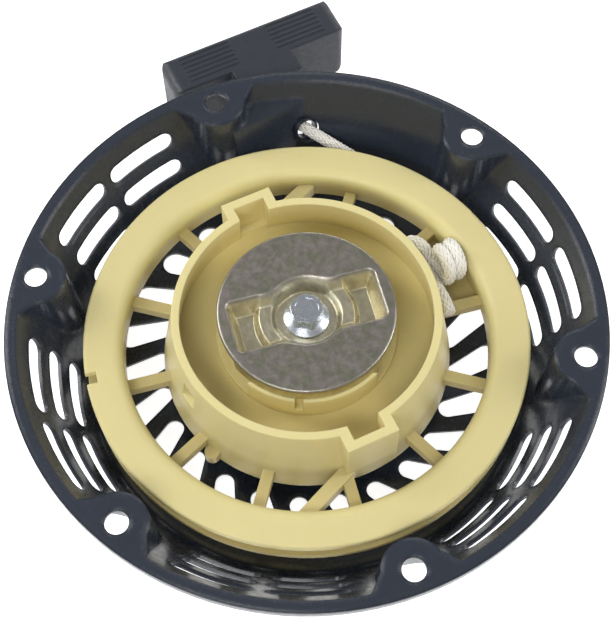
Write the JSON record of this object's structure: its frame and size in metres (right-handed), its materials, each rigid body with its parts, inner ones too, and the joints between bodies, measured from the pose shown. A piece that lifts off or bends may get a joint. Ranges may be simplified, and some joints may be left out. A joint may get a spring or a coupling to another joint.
{
  "type": "recoil starter",
  "caption": "Pull-cord recoil starter: vented steel bowl with a sprung rope reel, swinging pawls under a guide plate, a collar for the starter cup, and a T-shaped pull handle.",
  "frame": {"origin": "centre of the bolt circle on the mounting face", "axes": "+Z along the crank axis towards the engine, +Y towards the side where the rope leaves"},
  "size_m": [0.2336, 0.2766, 0.0549],
  "materials": {
    "black_paint": "gloss black enamel on pressed steel",
    "nylon": "smooth cream nylon",
    "cord": "braided white polyester cord",
    "chromate": "zinc plate with a yellow chromate tint",
    "zinc": "bright zinc plate",
    "steel": "turned steel",
    "spring_steel": "blued spring steel",
    "pawl_steel": "sintered steel",
    "grip_plastic": "charcoal moulded plastic"
  },
  "bodies": {
    "housing": {"housing": "black_paint", "rope_guide": "black_paint", "centre_post": "steel", "post_collar": "steel", "recoil_spring": "spring_steel", "thrust_washer": "zinc", "friction_spring": "spring_steel", "flange_bolt": "zinc", "rope_run": "cord"},
    "reel": {"reel": "nylon", "spring_cover": "zinc", "cover_screw_1": "zinc", "cover_screw_2": "zinc", "cover_screw_3": "zinc", "rope_coil": "cord", "rope_knot": "cord", "rope_tail": "cord", "pawl_pin_1": "steel", "pawl_pin_2": "steel", "pawl_spring_1": "spring_steel", "pawl_spring_2": "spring_steel"},
    "guide_plate": {"guide_plate": "chromate"},
    "pawl_1": {"pawl_1": "pawl_steel"},
    "pawl_2": {"pawl_2": "pawl_steel"},
    "handle": {"handle_grip": "grip_plastic", "handle_washer": "zinc", "handle_knot": "cord", "handle_cap": "grip_plastic", "rope_pull": "cord"}
  },
  "joints": [
    {"name": "reel_spin", "type": "hinge", "parent": "housing", "child": "reel", "pos_m": [0, 0, 0], "axis": [0, 0, 1], "range_deg": [0, 720], "stiffness_Nm_per_rad": 0.04, "springref_deg": -458.37},
    {"name": "handle_pull", "type": "slide", "parent": "housing", "child": "handle", "axis": [-0.5793, 0.8151, 0], "range_m": [0, 1]},
    {"name": "guide_turn", "type": "hinge", "parent": "reel", "child": "guide_plate", "pos_m": [0, 0, 0], "axis": [0, 0, 1], "range_deg": [-12, 0], "stiffness_Nm_per_rad": 0.02, "springref_deg": 5.73},
    {"name": "pawl_1_swing", "type": "hinge", "parent": "reel", "child": "pawl_1", "pos_m": [0.01838, -0.01838, -0.008], "axis": [0, 0, 1], "range_deg": [-22, 0]},
    {"name": "pawl_2_swing", "type": "hinge", "parent": "reel", "child": "pawl_2", "pos_m": [-0.01838, 0.01838, -0.008], "axis": [0, 0, 1], "range_deg": [-22, 0]}
  ],
  "couplings": [
    {"joint": "handle_pull", "follows": "reel_spin", "m_per_rad": 0.0793},
    {"joint": "pawl_1_swing", "follows": "guide_turn", "ratio": 1.8},
    {"joint": "pawl_2_swing", "follows": "guide_turn", "ratio": 1.8}
  ]
}
